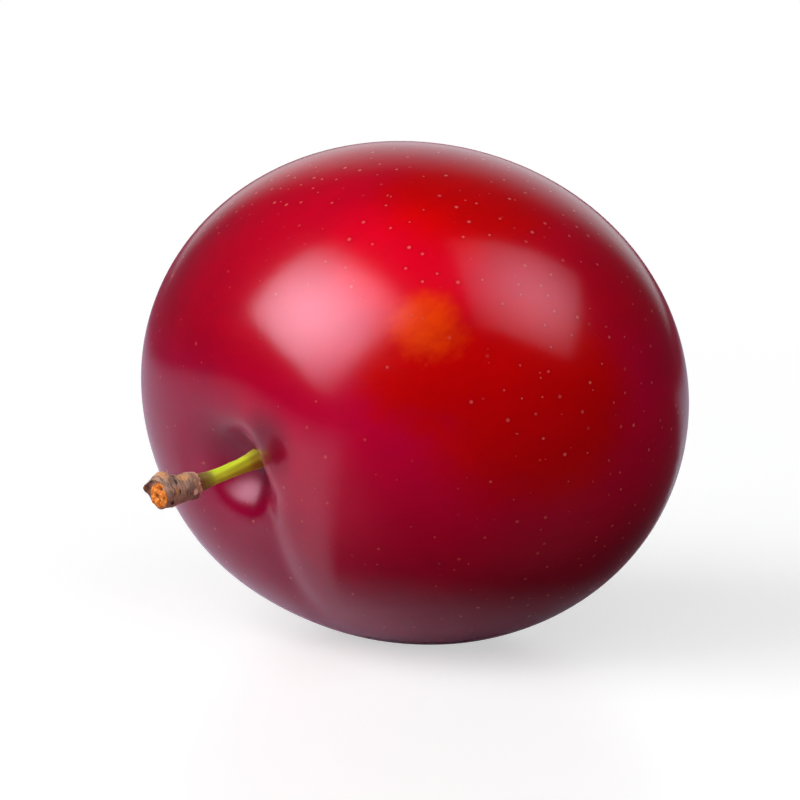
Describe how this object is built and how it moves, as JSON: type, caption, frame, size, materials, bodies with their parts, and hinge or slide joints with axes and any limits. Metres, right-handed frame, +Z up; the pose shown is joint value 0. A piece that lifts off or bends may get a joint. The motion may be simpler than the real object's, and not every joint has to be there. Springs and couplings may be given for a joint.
{
  "type": "plum",
  "caption": "Ripe red plum lying on its side, with a dimpled stem end, a suture crease, a green stem and the stub of a woody spur.",
  "frame": {"origin": "middle of the small flat spot that the plum lies on", "axes": "+Z up out of the surface, +X across the two cheeks, -Y towards the stem end, which points 9 degrees below level"},
  "size_m": [0.0578, 0.0547, 0.0474],
  "materials": {
    "skin": "smooth waxy plum skin, crimson to orange-red, with small pale pores and a faint bloom",
    "green_stem": "yellow-green fruit stem, finely ridged lengthwise, satin",
    "bark": "rough grey-brown spur bark with scars",
    "broken_wood": "fresh orange-brown broken wood, fibrous"
  },
  "bodies": {
    "root": {"fruit": "skin", "stem": "green_stem", "spur_stub": "bark"}
  },
  "joints": []
}
